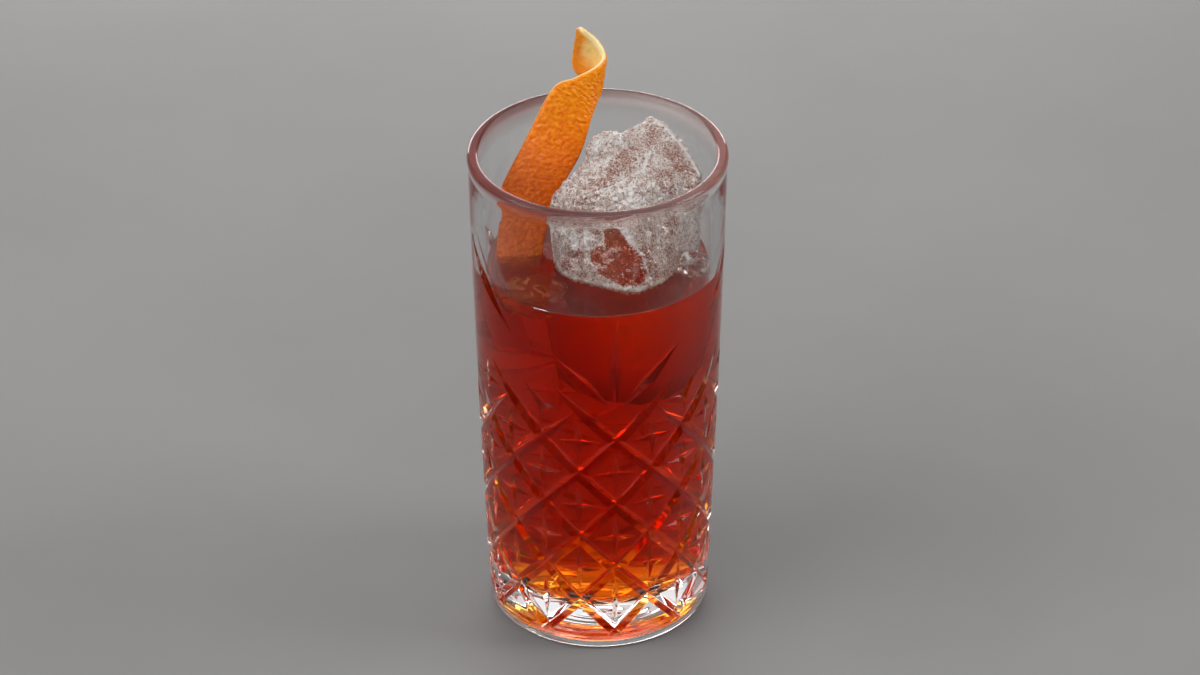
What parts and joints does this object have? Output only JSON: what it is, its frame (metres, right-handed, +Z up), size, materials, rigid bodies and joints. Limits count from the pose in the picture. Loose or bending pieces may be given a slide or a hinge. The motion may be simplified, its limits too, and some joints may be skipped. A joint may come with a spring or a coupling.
{
  "type": "iced cocktail in a cut highball glass",
  "caption": "Tall cut-glass highball of iced red cocktail with a frosty block of ice and a twisted strip of orange peel standing above the rim.",
  "frame": {"origin": "centre of the glass's base, on the surface that it stands on", "axes": "+Z up along the glass's axis; the middle of the pattern's fan faces the front, -Y, turned 8.4 degrees towards +X"},
  "size_m": [0.0792, 0.0792, 0.1834],
  "materials": {
    "glass": "clear pressed and cut glass",
    "drink": "clear deep red drink",
    "ice": "frosted, cloudy ice",
    "peel": "dimpled orange zest with pale pith inside"
  },
  "bodies": {
    "root": {"glass": "glass", "drink": "drink", "ice_block": "ice", "ice_chip": "ice", "orange_peel": "peel"}
  },
  "joints": []
}
